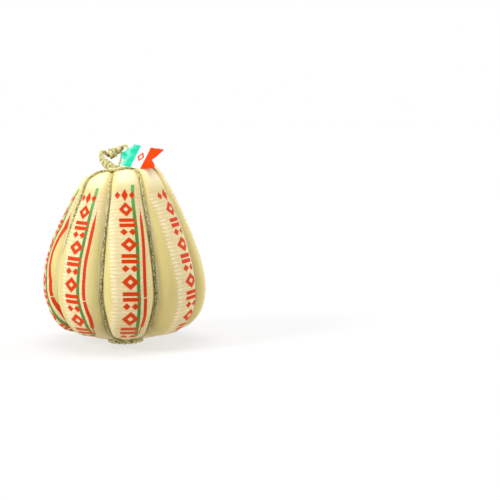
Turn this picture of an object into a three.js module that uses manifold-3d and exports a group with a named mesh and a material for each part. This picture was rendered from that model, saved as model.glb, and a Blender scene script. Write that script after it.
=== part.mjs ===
// A whole sweet provolone in the ribbed pear form that is sold hanging. The cheese sits in a tight printed sleeve, and
// eight cords press it into eight lobes. They run from a rope ring under the cheese to a round knot on top, where a
// plait, a wound coil and a single cord make the hanging loop. A swallow-tailed label is folded round the single cord.
// Millimetres, +Z up, the origin on the floor under the middle of the cheese, the front of the cheese facing -Y.

import * as THREE from "three";
import { mergeVertices } from "three/addons/utils/BufferGeometryUtils.js";
import Module from "manifold-3d";

const wasm = await Module();
wasm.setup();

// Driving dimensions of the cheese, along the crest of a lobe
const HEEL_RADIUS = 93; // where the underside turns up into the side
const HEEL_HEIGHT = 22.6;
const BELLY_RADIUS = 136;
const BELLY_HEIGHT = 95;
const SHOULDER_RADIUS = 80.5;
const SHOULDER_HEIGHT = 255;
const TOP_RADIUS = 47; // the rim of the top, which the lobes are highest at
const TOP_HEIGHT = 293.5;
const TOP_TILT = 0.07; // how far the rim rises to the right, for each millimetre across
const DISH_RADIUS = 16; // the hollow on top that the knot lies in
const DISH_HEIGHT = 288;
const SAG_RADIUS = 20; // the cheese lies on the rope ring, and its sag fills the ring
const KNOT_OFFSET = -14; // the cords meet this far to the left of the cheese's own axis

// The lobes and the grooves between them
const LOBES = 8;
const LOBE_FULLNESS = 5.5; // the power that shapes a lobe from its crest down to the groove
const LOBE_SLACK = [0, 1.2, 0.5, 2, 0, 0.8, 0, 1.6]; // how much flatter each lobe is, so that no two are alike
const LOBE_SAG = [-2, 1, 7, 1, 0, 1, -5, -1]; // how far each lobe's belly hangs lower than the rest
const CORD_STRAY = [-1.5, -0.8, -0.2, 0.6, 0.8, 1.6, 2, 1.5]; // degrees that each cord strays from an even spacing
const GROOVE_AT_RING = 2.5;
const GROOVE_AT_HEEL = 27; // the tight cords cut straight from the ring to the side, so they press in most here
const GROOVE_AT_BELLY = 18;
const GROOVE_AT_TOP = 5;
const CHANNEL_HALF_WIDTH = 3.6; // the flat floor of a groove, which the cord lies on

// Rope
const CORD_RADIUS = 2.6;
const CORD_CLEARANCE = 1.6; // under a cord, because its straight steps cut the corners of a curve
const GAP = 0.35; // between other pieces that touch
const RING_RADIUS = 26; // the ring under the cheese, to the middle of its rope
const RING_ROPE_RADIUS = 4.5;
const KNOT_RADIUS = 12; // the round knot on top, to the middle of the rope at its rim
const KNOT_ROPE_RADIUS = 3.8;
const PRESSED = 0.88; // of a rope's radius, from its middle down to where it is pressed flat
const UNDERSIDE_HEIGHT = (1 + PRESSED) * RING_ROPE_RADIUS + GAP;
const KNOT_HEIGHT = DISH_HEIGHT + GAP + PRESSED * KNOT_ROPE_RADIUS;
const LOOP_FOOT = KNOT_HEIGHT + KNOT_ROPE_RADIUS + GAP;
const LOOP_LEAN = 0.3; // how far the loop leans back for its height
const LEG_RADIUS = 2.2; // the single cord of the loop
const PLAIT = { foot: 7.2, tip: 2.4, deepest: 5, bulge: 0.4 }; // half widths of the plait, and how far a strand bulges
const BIGHT_RADIUS = 2.7; // the small bight at the coil's right end
const TURN_NOTCH = 1.2; // how deep the coil is notched between two turns

// The label: its size, and the band of its height that is folded round the single cord
const LABEL = { width: 60, height: 46, notch: 12, thickness: 0.8, foldLow: 16, foldHigh: 26, foldReach: 8.5 };
const FOLD = { start: 0.6, end: 0.95, inside: 0.8, outside: 1.7 }; // along the cord, and clear of the cord's surface

const material = (name, colour, roughness) =>
  new THREE.MeshStandardMaterial({ name, color: new THREE.Color(...colour), roughness, metalness: 0 });
const sleeve = material("sleeve", [0.93, 0.82, 0.5], 0.4);
const rope = material("rope", [0.62, 0.57, 0.35], 0.9);
const labelFilm = material("label_film", [0.95, 0.95, 0.94], 0.3);

const root = new THREE.Group();
const flat = (x, y) => new THREE.Vector2(x, y);
const rise = (low, high, x) => THREE.MathUtils.smoothstep(x, low, high);
const { lerp, degToRad } = THREE.MathUtils;

function addMesh(name, geometry, look) {
  const mesh = new THREE.Mesh(geometry, look);
  mesh.name = name;
  root.add(mesh);
}

// A closed skin over rings of points, with each end closed by a fan round a middle point
function skinOver(rings, start, end) {
  const sides = rings[0].length;
  const points = [...rings.flat(), start, end];
  const startIndex = points.length - 2;
  const endIndex = points.length - 1;
  const lastRing = (rings.length - 1) * sides;
  const faces = [];
  for (let j = 0; j < sides; j++) {
    const next = (j + 1) % sides;
    faces.push(startIndex, next, j, endIndex, lastRing + j, lastRing + next);
    for (let low = 0; low < lastRing; low += sides) {
      faces.push(low + j, low + next, low + sides + next, low + j, low + sides + next, low + sides + j);
    }
  }
  return new THREE.BufferGeometry().setFromPoints(points).setIndex(faces);
}

// Closed solids, which can be joined and cut
function toSolid(geometry) {
  const position = new THREE.BufferGeometry().setAttribute("position", geometry.getAttribute("position"));
  const merged = mergeVertices(position.setIndex(geometry.getIndex()), 1e-3);
  return new wasm.Manifold(
    new wasm.Mesh({
      numProp: 3,
      vertProperties: new Float32Array(merged.attributes.position.array),
      triVerts: new Uint32Array(merged.index.array),
    }),
  );
}

function toGeometry(solid) {
  const mesh = solid.getMesh();
  return new THREE.BufferGeometry()
    .setAttribute("position", new THREE.BufferAttribute(new Float32Array(mesh.vertProperties), 3))
    .setIndex(new THREE.BufferAttribute(new Uint32Array(mesh.triVerts), 1));
}

// The crest line of a lobe as (radius, height), from the rope ring up to the dish on top
const CREST = [
  { ends: [flat(RING_RADIUS + RING_ROPE_RADIUS + 1, UNDERSIDE_HEIGHT), flat(50, 13.5), flat(76, 19.6)], rows: 6 },
  { ends: [flat(HEEL_RADIUS, HEEL_HEIGHT), flat(111, 25.5), flat(135, 52)], rows: 9 },
  { ends: [flat(BELLY_RADIUS, BELLY_HEIGHT), flat(136.6, 141.8), flat(112, 194.8)], rows: 11 },
  { ends: [flat(SHOULDER_RADIUS, SHOULDER_HEIGHT), flat(73, 273), flat(61, 291.5)], rows: 7 },
  { ends: [flat(TOP_RADIUS, TOP_HEIGHT), flat(37, 294.2), flat(27, 289.2)], rows: 4 },
];
const crestEnd = flat(DISH_RADIUS, DISH_HEIGHT);

// Places along the crest line with the direction that points out of the cheese there
const crestRows = CREST.flatMap(({ ends, rows }, n) => {
  const next = n + 1 < CREST.length ? CREST[n + 1].ends[0] : crestEnd;
  const curve = new THREE.CubicBezierCurve(...ends, next);
  const count = n + 1 < CREST.length ? rows : rows + 1;
  return Array.from({ length: count }, (_, i) => {
    const along = curve.getTangent(i / rows);
    return { place: curve.getPoint(i / rows), outward: flat(along.y, -along.x) };
  });
});

// How deep the cords press in at a place on the crest line
function grooveDepth(place) {
  if (place.y > BELLY_HEIGHT) return lerp(GROOVE_AT_BELLY, GROOVE_AT_TOP, rise(130, 288, place.y));
  const deepest = lerp(GROOVE_AT_HEEL, GROOVE_AT_BELLY, rise(40, BELLY_HEIGHT, place.y));
  return lerp(GROOVE_AT_RING, deepest, rise(30, 118, place.x));
}

// Lobe 0 faces the front, and cord k lies between lobe k and lobe k + 1
const LOBE_WIDTH = 360 / LOBES;
const cordAngle = (k) => LOBE_WIDTH * (k + 0.5) + CORD_STRAY[k % LOBES];

// How far the skin hangs lower at a place, the mean of both lobes at a cord
function sag(place, lobe, share) {
  const beside = LOBE_SAG[(lobe + LOBES + Math.sign(share)) % LOBES];
  return lerp(LOBE_SAG[lobe], beside, Math.abs(share) / 2) * rise(22, 70, place.y) * (1 - rise(150, 250, place.y));
}

// How far the rim of the top is raised at a distance x to the right
const rimLift = (place, x) => TOP_TILT * x * rise(DISH_RADIUS, 44, place.x) * (1 - rise(52, 74, place.x));

// A point of the cheese's skin; share runs from -1 to 1 across a lobe, and lift stands the point off the skin
function skinPoint({ place, outward }, lobe, share, lift = 0) {
  const left = cordAngle(lobe + LOBES - 1) - 360;
  const right = cordAngle(lobe);
  const angle = degToRad(lerp(left, right, (share + 1) / 2));
  const halfWidth = (place.x * Math.PI) / LOBES;
  const channelEdge = Math.max(0.5, 1 - CHANNEL_HALF_WIDTH / halfWidth);
  const towardsCord = Math.min(1, Math.abs(share) / channelEdge) ** LOBE_FULLNESS;
  const slack = LOBE_SLACK[lobe] * rise(60, 120, place.x) * (1 - towardsCord);
  const inward = grooveDepth(place) * towardsCord + slack - lift;
  const radius = place.x - outward.x * inward;
  const atTop = place.y > SHOULDER_HEIGHT;
  const x = radius * Math.sin(angle) + (atTop ? KNOT_OFFSET * (1 - rise(DISH_RADIUS, 50, place.x)) : 0);
  const raised = atTop ? rimLift(place, x) : -sag(place, lobe, share);
  return new THREE.Vector3(x, -radius * Math.cos(angle), place.y - outward.y * inward + raised);
}

// The cheese
const SHARES = [-0.78, -0.58, -0.3, 0, 0.3, 0.58, 0.78]; // columns of points across a lobe
const LEAST_EDGE = 0.84; // of half a lobe, so that the channel's edge stays beyond the last of those columns
function cheeseGeometry() {
  const columns = [];
  for (let lobe = 0; lobe < LOBES; lobe++) {
    const between = SHARES.map((share) => ({ lobe, share }));
    columns.push({ lobe, share: -1 }, { lobe, edge: -1 }, ...between, { lobe, edge: 1 });
  }
  const flatRing = (radius, height) =>
    columns.map((_, n) => {
      const angle = (n / columns.length) * 2 * Math.PI - degToRad(LOBE_WIDTH / 2);
      return new THREE.Vector3(radius * Math.sin(angle), -radius * Math.cos(angle), height);
    });
  const lobedRings = crestRows.map((row) => {
    const edge = Math.max(LEAST_EDGE, 1 - CHANNEL_HALF_WIDTH / ((row.place.x * Math.PI) / LOBES));
    return columns.map((column) => skinPoint(row, column.lobe, column.share ?? column.edge * edge));
  });
  const inRing = [flatRing(SAG_RADIUS - 2, 1), flatRing(SAG_RADIUS, 3), flatRing(SAG_RADIUS, UNDERSIDE_HEIGHT)];
  const dishMiddle = new THREE.Vector3(KNOT_OFFSET, 0, DISH_HEIGHT);
  return skinOver([...inRing, ...lobedRings], new THREE.Vector3(0, 0, 1), dishMiddle);
}
addMesh("cheese", cheeseGeometry(), sleeve);

// A rope along a curve; across(t) gives half its depth, from front to back, and half its width
function ropeGeometry(curve, across, sides, steps) {
  const frames = curve.computeFrenetFrames(steps, false);
  const rings = frames.tangents.map((_, i) => {
    const [halfDepth, halfWidth] = across(i / steps);
    return Array.from({ length: sides }, (_, j) => {
      const turn = (j / sides) * 2 * Math.PI;
      return curve
        .getPointAt(i / steps)
        .addScaledVector(frames.normals[i], Math.cos(turn) * halfDepth)
        .addScaledVector(frames.binormals[i], Math.sin(turn) * halfWidth);
    });
  });
  return skinOver(rings, curve.getPointAt(0), curve.getPointAt(1));
}

const roundRope = (curve, radius, sides, steps) => ropeGeometry(curve, () => [radius, radius], sides, steps);

// The eight cords, each in its groove from the rope ring to the knot
const cordEnd = KNOT_RADIUS + KNOT_ROPE_RADIUS + 2;
for (let k = 0; k < LOBES; k++) {
  const path = crestRows
    .filter(({ place }) => place.x > cordEnd)
    .map((row) => skinPoint(row, k, 1, CORD_RADIUS + CORD_CLEARANCE));
  const curve = new THREE.CatmullRomCurve3(path, false, "centripetal");
  addMesh("cord_" + (k + 1), roundRope(curve, CORD_RADIUS, 7, 38), rope);
}

// The half section of a rope lying in a circle, pressed flat underneath, up to the given angle round the rope
function ropeSection(radius, ropeRadius, upTo) {
  const section = new THREE.Path();
  section.absarc(radius, 0, ropeRadius, -Math.asin(PRESSED), upTo, false);
  return section.getPoints(7);
}

const ringSection = ropeSection(RING_RADIUS, RING_ROPE_RADIUS, Math.PI + Math.asin(PRESSED));
const baseRing = new THREE.LatheGeometry([...ringSection, ringSection[0].clone()], 28).rotateX(Math.PI / 2);
addMesh("base_ring", baseRing.translate(0, 0, PRESSED * RING_ROPE_RADIUS), rope);

const knotRim = ropeSection(KNOT_RADIUS, KNOT_ROPE_RADIUS, Math.PI / 2);
const knotSection = [flat(0, -PRESSED * KNOT_ROPE_RADIUS), ...knotRim, flat(0, KNOT_ROPE_RADIUS - 0.6)];
const topKnot = new THREE.LatheGeometry(knotSection, 20).rotateX(Math.PI / 2);
addMesh("top_knot", topKnot.translate(KNOT_OFFSET, 0, KNOT_HEIGHT), rope);

// The hanging loop, drawn from the front and leaning back: a plait at the left, a wound coil on top, a cord at the right
const inLoop = (x, z) => new THREE.Vector3(x, (z - LOOP_FOOT) * LOOP_LEAN, z);

// Cuts off what reaches below the top of the knot
function standOnKnot(geometry) {
  const below = new THREE.BoxGeometry(80, 80, 20).translate(KNOT_OFFSET, 0, LOOP_FOOT - 10);
  return toGeometry(toSolid(geometry).subtract(toSolid(below)));
}

const plaitPath = new THREE.CatmullRomCurve3([
  inLoop(-15.5, LOOP_FOOT - 5),
  inLoop(-25.5, 298.4),
  inLoop(-33.4, 305),
  inLoop(-36.8, 311.5),
  inLoop(-36.9, 317),
  inLoop(-35, 322),
]);
function plaitAcross(t) {
  const halfWidth = lerp(PLAIT.foot, PLAIT.tip, rise(0.35, 1, t));
  const bulge = PLAIT.bulge * Math.sin(t * 9 * Math.PI);
  return [Math.min(halfWidth, PLAIT.deepest) - bulge, halfWidth + bulge];
}
addMesh("loop_plait", standOnKnot(ropeGeometry(plaitPath, plaitAcross, 10, 22)), rope);

// The coil: turns of cord wound round the rope, thick at the left and thin at the right, ending in a small bight
const COIL_START = inLoop(-30.4, 312.6);
const COIL_END = inLoop(-1.5, 328);
const COIL_TURNS = [4.4, 8.2, 9, 6.4, 7.2, 5.6]; // the outer radius of each turn
function coilGeometry() {
  const turnWidth = COIL_START.distanceTo(COIL_END) / COIL_TURNS.length;
  const outline = COIL_TURNS.flatMap((radius, n) => [
    flat(radius - TURN_NOTCH, (n + 0.1) * turnWidth),
    flat(radius, (n + 0.5) * turnWidth),
    flat(radius - TURN_NOTCH, (n + 0.9) * turnWidth),
  ]);
  outline.unshift(flat(0, 0));
  outline.push(flat(0, COIL_TURNS.length * turnWidth));
  const along = COIL_END.clone().sub(COIL_START).normalize();
  const coil = new THREE.LatheGeometry(outline, 14);
  coil.applyQuaternion(new THREE.Quaternion().setFromUnitVectors(new THREE.Vector3(0, 1, 0), along));
  coil.translate(...COIL_START.toArray());
  const bight = new THREE.CatmullRomCurve3([
    COIL_END.clone().addScaledVector(along, -5),
    inLoop(1.8, 330.4),
    inLoop(6, 329.4),
    inLoop(7, 325.6),
    inLoop(4.6, 322.4),
  ]);
  return toGeometry(toSolid(coil).add(toSolid(roundRope(bight, BIGHT_RADIUS, 8, 10))));
}
addMesh("loop_coil", coilGeometry(), rope);

const legPath = new THREE.CatmullRomCurve3([
  inLoop(-9.4, LOOP_FOOT - 3),
  inLoop(-6.6, 300.5),
  inLoop(-3.6, 307),
  inLoop(-1.8, 316.4),
]);
addMesh("loop_leg", standOnKnot(roundRope(legPath, LEG_RADIUS, 8, 12)), rope);

// The label, flat, with across and up as its own directions; its fold is a sleeve round the single cord
const labelAcross = new THREE.Vector3(0.75, -0.652, -0.115).normalize();
const labelUp = new THREE.Vector3(0.515, 0.47, 0.717).normalize();
const labelFacing = new THREE.Vector3().crossVectors(labelAcross, labelUp).normalize();
const labelCorner = new THREE.Vector3(-5.9, -12.6, 301);
function labelGeometry() {
  const { width, height, notch, thickness, foldLow, foldHigh, foldReach } = LABEL;
  const outline = new THREE.Shape([
    flat(0, 0),
    flat(width, 0),
    flat(width - notch, height * 0.47),
    flat(width, height),
    flat(0, height),
    flat(0, foldHigh),
    flat(-foldReach, foldHigh),
    flat(-foldReach, foldLow),
    flat(0, foldLow),
  ]);
  const place = new THREE.Matrix4().makeBasis(labelAcross, labelUp, labelFacing).setPosition(labelCorner);
  const plate = new THREE.ExtrudeGeometry(outline, { depth: thickness, bevelEnabled: false });
  const legLow = legPath.getPointAt(FOLD.start);
  const legHigh = legPath.getPointAt(FOLD.end);
  const roundLeg = (clearance, longer) => {
    const along = legHigh.clone().sub(legLow).normalize();
    const ends = [legLow.clone().addScaledVector(along, -longer), legHigh.clone().addScaledVector(along, longer)];
    return toSolid(roundRope(new THREE.LineCurve3(...ends), LEG_RADIUS + clearance, 14, 1));
  };
  const folded = toSolid(plate.applyMatrix4(place)).add(roundLeg(FOLD.outside, 0));
  return toGeometry(folded.subtract(roundLeg(FOLD.inside, 12)));
}
addMesh("label", labelGeometry(), labelFilm);

export default root;
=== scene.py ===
"""A whole sweet provolone in its printed sleeve, tied with cords: the looks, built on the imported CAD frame.

Lengths are in millimetres until a mesh is made. The cheese stands on its rope ring at the origin, +Z up.
"""

import math

import bpy
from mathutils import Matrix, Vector


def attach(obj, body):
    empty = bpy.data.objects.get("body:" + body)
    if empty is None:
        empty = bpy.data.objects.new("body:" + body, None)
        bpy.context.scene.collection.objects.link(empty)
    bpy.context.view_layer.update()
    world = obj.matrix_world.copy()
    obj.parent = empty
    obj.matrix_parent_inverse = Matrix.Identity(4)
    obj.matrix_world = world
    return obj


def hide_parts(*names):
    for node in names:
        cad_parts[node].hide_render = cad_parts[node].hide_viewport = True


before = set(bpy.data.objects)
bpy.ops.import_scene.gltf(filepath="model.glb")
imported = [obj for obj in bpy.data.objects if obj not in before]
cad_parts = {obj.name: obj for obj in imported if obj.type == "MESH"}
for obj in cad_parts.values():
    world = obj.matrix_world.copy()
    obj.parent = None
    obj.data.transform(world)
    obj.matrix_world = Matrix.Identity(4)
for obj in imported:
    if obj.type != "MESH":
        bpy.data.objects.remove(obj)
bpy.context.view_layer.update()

MM = 0.001


# The camera, as the photograph was taken: a long lens, slightly to the left of the front and above the cheese
FRAME_PX = 500
LENS_MM = 100
SENSOR_MM = 36
CAMERA_DISTANCE = 2.32
CAMERA_HEIGHT = 0.451
CAMERA_AZIMUTH = math.radians(-2.75)
CAMERA_PITCH = math.radians(7.28)
AXIS_PX = 123.64  # the column of the photograph's frame that the cheese's axis is in


def add_camera():
    data = bpy.data.cameras.new("camera")
    data.lens = LENS_MM
    data.sensor_width = SENSOR_MM
    camera = bpy.data.objects.new("camera", data)
    bpy.context.scene.collection.objects.link(camera)
    turn = math.atan((FRAME_PX / 2 - AXIS_PX) / (LENS_MM / SENSOR_MM * FRAME_PX))
    camera.location = (
        math.sin(CAMERA_AZIMUTH) * CAMERA_DISTANCE,
        -math.cos(CAMERA_AZIMUTH) * CAMERA_DISTANCE,
        CAMERA_HEIGHT,
    )
    camera.rotation_euler = (math.pi / 2 - CAMERA_PITCH, 0, CAMERA_AZIMUTH - turn)
    bpy.context.scene.camera = camera


add_camera()


# Small helpers
def rise(low, high, x):
    """0 below low, 1 above high, and smooth between."""
    t = min(1.0, max(0.0, (x - low) / (high - low)))
    return t * t * (3 - 2 * t)


def mix(a, b, t):
    return a + (b - a) * t


def between(pairs, x):
    """The value at x of a line through (x, value) pairs that are in order of x."""
    if x <= pairs[0][0]:
        return pairs[0][1]
    for (x0, y0), (x1, y1) in zip(pairs, pairs[1:]):
        if x <= x1:
            return mix(y0, y1, (x - x0) / (x1 - x0))
    return pairs[-1][1]


def make_object(name, points, faces, material):
    mesh = bpy.data.meshes.new(name)
    mesh.from_pydata([tuple(c * MM for c in p) for p in points], [], faces)
    mesh.polygons.foreach_set("use_smooth", [True] * len(faces))
    mesh.materials.append(material)
    made = bpy.data.objects.new(name, mesh)
    bpy.context.scene.collection.objects.link(made)
    return made


def point_attribute(made, name, values):
    layer = made.data.attributes.new(name, "FLOAT", "POINT")
    layer.data.foreach_set("value", values)


def dress(made, node):
    """The piece rides on the body and stands for the CAD node."""
    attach(made, "root")
    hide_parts(node)


# Where a Mix node keeps its two colours and its result
MIX_FIRST = 6
MIX_SECOND = 7
MIX_RESULT = 2


# Materials are built from these: each call adds a node and returns its output
class Nodes:
    def __init__(self, name):
        self.material = bpy.data.materials.new(name)
        self.material.use_nodes = True
        self.tree = self.material.node_tree
        self.shader = self.tree.nodes["Principled BSDF"]

    def put(self, socket, value):
        if isinstance(value, bpy.types.NodeSocket):
            self.tree.links.new(value, socket)
        else:
            socket.default_value = value

    def math(self, operation, *values):
        node = self.tree.nodes.new("ShaderNodeMath")
        node.operation = operation
        for socket, value in zip(node.inputs, values):
            self.put(socket, value)
        return node.outputs[0]

    def times(self, *values):
        product = values[0]
        for value in values[1:]:
            product = self.math("MULTIPLY", product, value)
        return product

    def highest(self, *values):
        most = values[0]
        for value in values[1:]:
            most = self.math("MAXIMUM", most, value)
        return most

    def ramp(self, value, low, high):
        """0 where value is low, 1 where it is high, and smooth between."""
        node = self.tree.nodes.new("ShaderNodeMapRange")
        node.interpolation_type = "SMOOTHSTEP"
        self.put(node.inputs["Value"], value)
        self.put(node.inputs["From Min"], low)
        self.put(node.inputs["From Max"], high)
        return node.outputs["Result"]

    def band(self, value, middle, half, soft=0.35):
        """1 within half of the middle, 0 outside, with a soft edge."""
        away = self.math("ABSOLUTE", self.math("SUBTRACT", value, middle))
        return self.ramp(away, half + soft, half - soft)

    def attribute(self, name):
        node = self.tree.nodes.new("ShaderNodeAttribute")
        node.attribute_name = name
        return node.outputs["Fac"]

    def place(self):
        """The point in metres in the object's own space."""
        return self.tree.nodes.new("ShaderNodeTexCoord").outputs["Object"]

    def vector(self, x, y, z=0.0):
        node = self.tree.nodes.new("ShaderNodeCombineXYZ")
        for socket, value in zip(node.inputs, (x, y, z)):
            self.put(socket, value)
        return node.outputs[0]

    def noise(self, vector, scale, detail=2.0):
        node = self.tree.nodes.new("ShaderNodeTexNoise")
        node.inputs["Scale"].default_value = scale
        node.inputs["Detail"].default_value = detail
        self.tree.links.new(vector, node.inputs["Vector"])
        return node.outputs["Fac"]

    def mixed(self, amount, first, second):
        """The first colour, turning into the second as amount rises to 1."""
        node = self.tree.nodes.new("ShaderNodeMix")
        node.data_type = "RGBA"
        self.put(node.inputs["Factor"], amount)
        self.put(node.inputs[MIX_FIRST], first)
        self.put(node.inputs[MIX_SECOND], second)
        return node.outputs[MIX_RESULT]

    def bump(self, height, distance_mm, strength):
        node = self.tree.nodes.new("ShaderNodeBump")
        node.inputs["Strength"].default_value = strength
        node.inputs["Distance"].default_value = distance_mm * MM
        self.tree.links.new(height, node.inputs["Height"])
        self.tree.links.new(node.outputs["Normal"], self.shader.inputs["Normal"])

    def finish(self, colour, roughness, **constants):
        self.put(self.shader.inputs["Base Color"], colour)
        self.put(self.shader.inputs["Roughness"], roughness)
        for name, value in constants.items():
            self.shader.inputs[name.replace("_", " ")].default_value = value
        return self.material


def srgb(red, green, blue):
    """A colour as it is read off a screen, from 0 to 255, in the linear form that shaders take."""
    linear = [((c / 255 + 0.055) / 1.055) ** 2.4 if c > 10 else c / 255 / 12.92 for c in (red, green, blue)]
    return (*linear, 1.0)


# The cheese's shape, close to the CAD part's; the comments say which values differ
HEEL = (93, 22.6)  # like BELLY, SHOULDER and TOP, a radius and a height
BELLY_HEIGHT = 95
BELLY = (136, BELLY_HEIGHT)
SHOULDER_HEIGHT = 255
SHOULDER = (80.5, SHOULDER_HEIGHT)
TOP = (47, 293.5)
TOP_TILT = 0.07  # how far the top rises to the right, for each millimetre across
LEFT_TILT = 0.155  # and how far it falls to the left, more than in CAD
UNDERSIDE_HEIGHT = 8.81
DISH_RADIUS = 16
DISH_HEIGHT = 288
SAG_RADIUS = 20
SAG_BOTTOM = 1
KNOT_OFFSET = -14  # the cords meet this far to the left of the cheese's own axis
LOBES = 8
LOBE_FULLNESS = 5.5  # the power that shapes a lobe from its crest down to the groove
LOBE_SLACK = (0, 1.2, 0.5, 2, 0, 0.8, 0, 1.6)  # how much flatter each lobe is
LOBE_SAG = (-2, 1, 7, 1, 0, 1, -5, -1)  # how far each lobe's belly hangs lower than the rest
CORD_STRAY = (-1.5, -0.8, -0.2, 0.6, 0.8, 1.6, 2, 1.5)  # degrees that each cord strays from an even spacing
TOP_STRAY = (5, 0, 0, 0, 0, 0, 0, -5)  # and how much more near the knot, which isn't in CAD
GROOVE_AT_RING = 2.5
GROOVE_AT_HEEL = 27
GROOVE_AT_BELLY = 18
GROOVE_AT_TOP = 5
CHANNEL_HALF_WIDTH = 2.9  # the flat floor of a groove, narrower than in CAD
LEAST_EDGE = 0.5  # of half a lobe, from its middle to that floor; less than in CAD
CORD_RADIUS = 2.4  # thinner than in CAD
CREST = (
    ((31.5, UNDERSIDE_HEIGHT), (50, 13.5), (76, 19.6), HEEL),
    (HEEL, (111, 25.5), (135, 52), BELLY),
    (BELLY, (136.6, 141.8), (112, 194.8), SHOULDER),
    (SHOULDER, (73, 273), (61, 291.5), TOP),
    (TOP, (37, 294.2), (27, 289.2), (DISH_RADIUS, DISH_HEIGHT)),
)
CREST_CUTS = 200  # of each of these curves
SAG_PROFILE = (  # the sag inside the rope ring, as pairs of a radius and a height
    (SAG_RADIUS, UNDERSIDE_HEIGHT),
    (SAG_RADIUS, 3.5),
    (SAG_RADIUS - 1.5, 1.6),
    (15, SAG_BOTTOM),
)


def crest_rows(step):
    """Places along the crest line of a lobe, a step apart: (place, outward, distance along the line)."""
    fine = []
    for ends in CREST:
        a, b, c, d = (Vector(p) for p in ends)
        for i in range(CREST_CUTS):
            t = i / CREST_CUTS
            u = 1 - t
            fine.append(u**3 * a + 3 * u * u * t * b + 3 * u * t * t * c + t**3 * d)
    fine.append(Vector(CREST[-1][-1]))
    rows = []
    along = 0.0
    for before, after in zip(fine, fine[1:]):
        way = after - before
        while len(rows) * step <= along + way.length:
            share = (len(rows) * step - along) / way.length
            direction = way.normalized()
            rows.append((before + way * share, Vector((direction.y, -direction.x)), len(rows) * step))
        along += way.length
    return rows


def cord_angle(k):
    return 360 / LOBES * (k + 0.5) + CORD_STRAY[k % LOBES]


def groove_depth(place):
    if place.y > BELLY_HEIGHT:
        return mix(GROOVE_AT_BELLY, GROOVE_AT_TOP, rise(130, DISH_HEIGHT, place.y))
    deepest = mix(GROOVE_AT_HEEL, GROOVE_AT_BELLY, rise(40, BELLY_HEIGHT, place.y))
    return mix(GROOVE_AT_RING, deepest, rise(30, 118, place.x))


def sag(place, lobe, share):
    """How far the skin hangs lower at a place, the mean of both lobes at a cord."""
    side = 1 if share > 0 else -1
    beside = LOBE_SAG[(lobe + side) % LOBES]
    hang = mix(LOBE_SAG[lobe], beside, abs(share) / 2)
    return hang * rise(22, 70, place.y) * (1 - rise(150, 250, place.y))


def skin_point(place, outward, lobe, share, lift):
    """A point of the cheese's skin.

    share runs from -1 to 1 across a lobe, and lift stands the point off the skin.
    """
    near_top = 1 - rise(32, 86, place.x) if place.y > BELLY_HEIGHT else 0
    left = cord_angle(lobe + LOBES - 1) - 360 + TOP_STRAY[lobe - 1] * near_top
    right = cord_angle(lobe) + TOP_STRAY[lobe] * near_top
    angle = math.radians(mix(left, right, (share + 1) / 2))
    half_width = place.x * math.pi / LOBES
    channel_edge = max(LEAST_EDGE, 1 - CHANNEL_HALF_WIDTH / half_width)
    towards_cord = min(1, abs(share) / channel_edge) ** LOBE_FULLNESS
    slack = LOBE_SLACK[lobe] * rise(60, 120, place.x) * (1 - towards_cord)
    inward = groove_depth(place) * towards_cord + slack - lift
    radius = place.x - outward.x * inward
    x = radius * math.sin(angle)
    if place.y > SHOULDER_HEIGHT:
        x += KNOT_OFFSET * (1 - rise(DISH_RADIUS, 50, place.x))
        tilt = TOP_TILT if x > 0 else LEFT_TILT
        raised = tilt * x * rise(DISH_RADIUS, 44, place.x) * (1 - rise(52, 74, place.x))
    else:
        raised = -sag(place, lobe, share)
    return Vector((x, -radius * math.cos(angle), place.y - outward.y * inward + raised))


# The sleeve, in millimetres: across from a lobe's middle, and along its crest line from the ring
KNIT_LEFT = -27
KNIT_RIGHT = 34
KNIT_TOP = 338
KNIT_PITCH = 6.5  # from rib to rib
STITCH_PITCH = 4.6  # from stitch to stitch of a rib
RIB_HEIGHT = 0.22
PLEAT_HEIGHT = 0.4
KNIT_REACH = (0, -1, -5, 0, 2, 0, -4, -12)  # how much wider the knit lies on the left of each lobe
KNIT_REACH_RIGHT = (0, 0, 0, 0, 0, 0, -6, -2)  # and on its right
COLUMN_MIDDLE = 3.4
COLUMN_HALF = 13.6
COLUMN_HALF_AT_TOP = 10.5
COLUMN_TOP = 312
COLUMN_END = 74
UNIT = 61  # the column's motifs repeat after this length
LOZENGE_HALF = 12.5  # half the height of the hollow lozenge that a unit starts with
BARS_DOWN = (31.5, 40.5)  # how far down a unit the middles of its bars are
BAR_HEIGHT = 6.4
SMALL_DOWN = 52  # how far down a unit the middles of its small lozenges are
SMALL_ASIDE = 7  # and how far from the column's middle
SMALL_HALF = (6.4, 6)  # half their width and height
MARK_ALONG = 324  # the mark of three lozenges over the column
MARK_HALF = (5.5, 11)  # half the width and height of its middle one
MARK_SIDE_HALF = (4.8, 6.6)  # and of those beside it
MARK_ASIDE = 11.6
STRIPE_HALF = 2.8  # half the green stripe's width and the red one's
GREEN_MIDDLE = 16.2
GREEN_TOP = 343
GREEN_END = 76
RED_MIDDLE = 26.6
RED_POINT = 309  # it starts here, and has its full width at the next value
RED_FULL = 268
RED_BREAK = 152
RED_BEND = 125
RED_SWING = 6.5  # how far it bends to the left
RED_THIN = 101  # it is thin from here down
RED_LOSS = 0.65  # the share of its width that it loses
RED_END = 84
PRINT_DROP = (0, -2.7, -6, 2, -4, 3, -12, -6.5)  # how far each lobe's print is shifted along it
PRINT_STRETCH = (1, 1.2, 1.1, 1, 1, 1, 1, 1.05)  # how much wider it is than on the front lobe
PRINT_SLOPE = (0, 0.13, 0.1, 0, 0, 0, 0, 0)  # how fast its rows rise to the right
ROW_STEP = 1.0  # from one row of points to the next
COLUMNS = 26  # of points, across a lobe
PRINT_UNIT = 100  # how many millimetres one unit of the print's UVs is
PLAIN_FILM = (0.5, 0.0)  # the UVs where there is no print
FAR_FROM_CORDS = 20.0  # what its material reads there as the distance to a cord
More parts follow.
